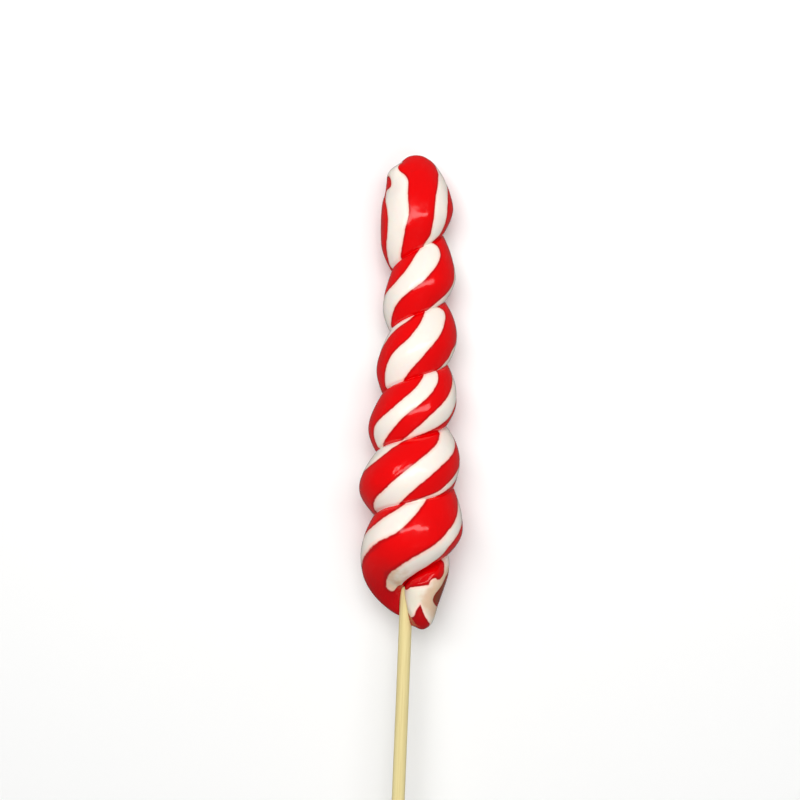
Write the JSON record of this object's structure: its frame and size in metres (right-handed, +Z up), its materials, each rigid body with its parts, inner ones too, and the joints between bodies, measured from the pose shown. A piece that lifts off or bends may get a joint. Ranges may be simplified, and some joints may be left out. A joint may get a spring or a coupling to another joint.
{
  "type": "swirl lollipop",
  "caption": "Twisted hard-candy lollipop: a thick red and white rope of sugar coiled up a thin round stick, lying on its back.",
  "frame": {"origin": "on the table, under the middle of the whole lollipop's bounding box", "axes": "+Z up, out of the side shown; +Y towards the candy's tip, -Y towards the stick's free end; +X to the right when seen from above with the tip away from the viewer"},
  "size_m": [0.0284, 0.2274, 0.0277],
  "materials": {
    "candy": "boiled sugar, glossy and slightly translucent, red with white stripes along the rope",
    "stick": "plain bamboo, round and smooth, fine straight grain"
  },
  "bodies": {
    "root": {"candy": "candy", "stick": "stick"}
  },
  "joints": []
}
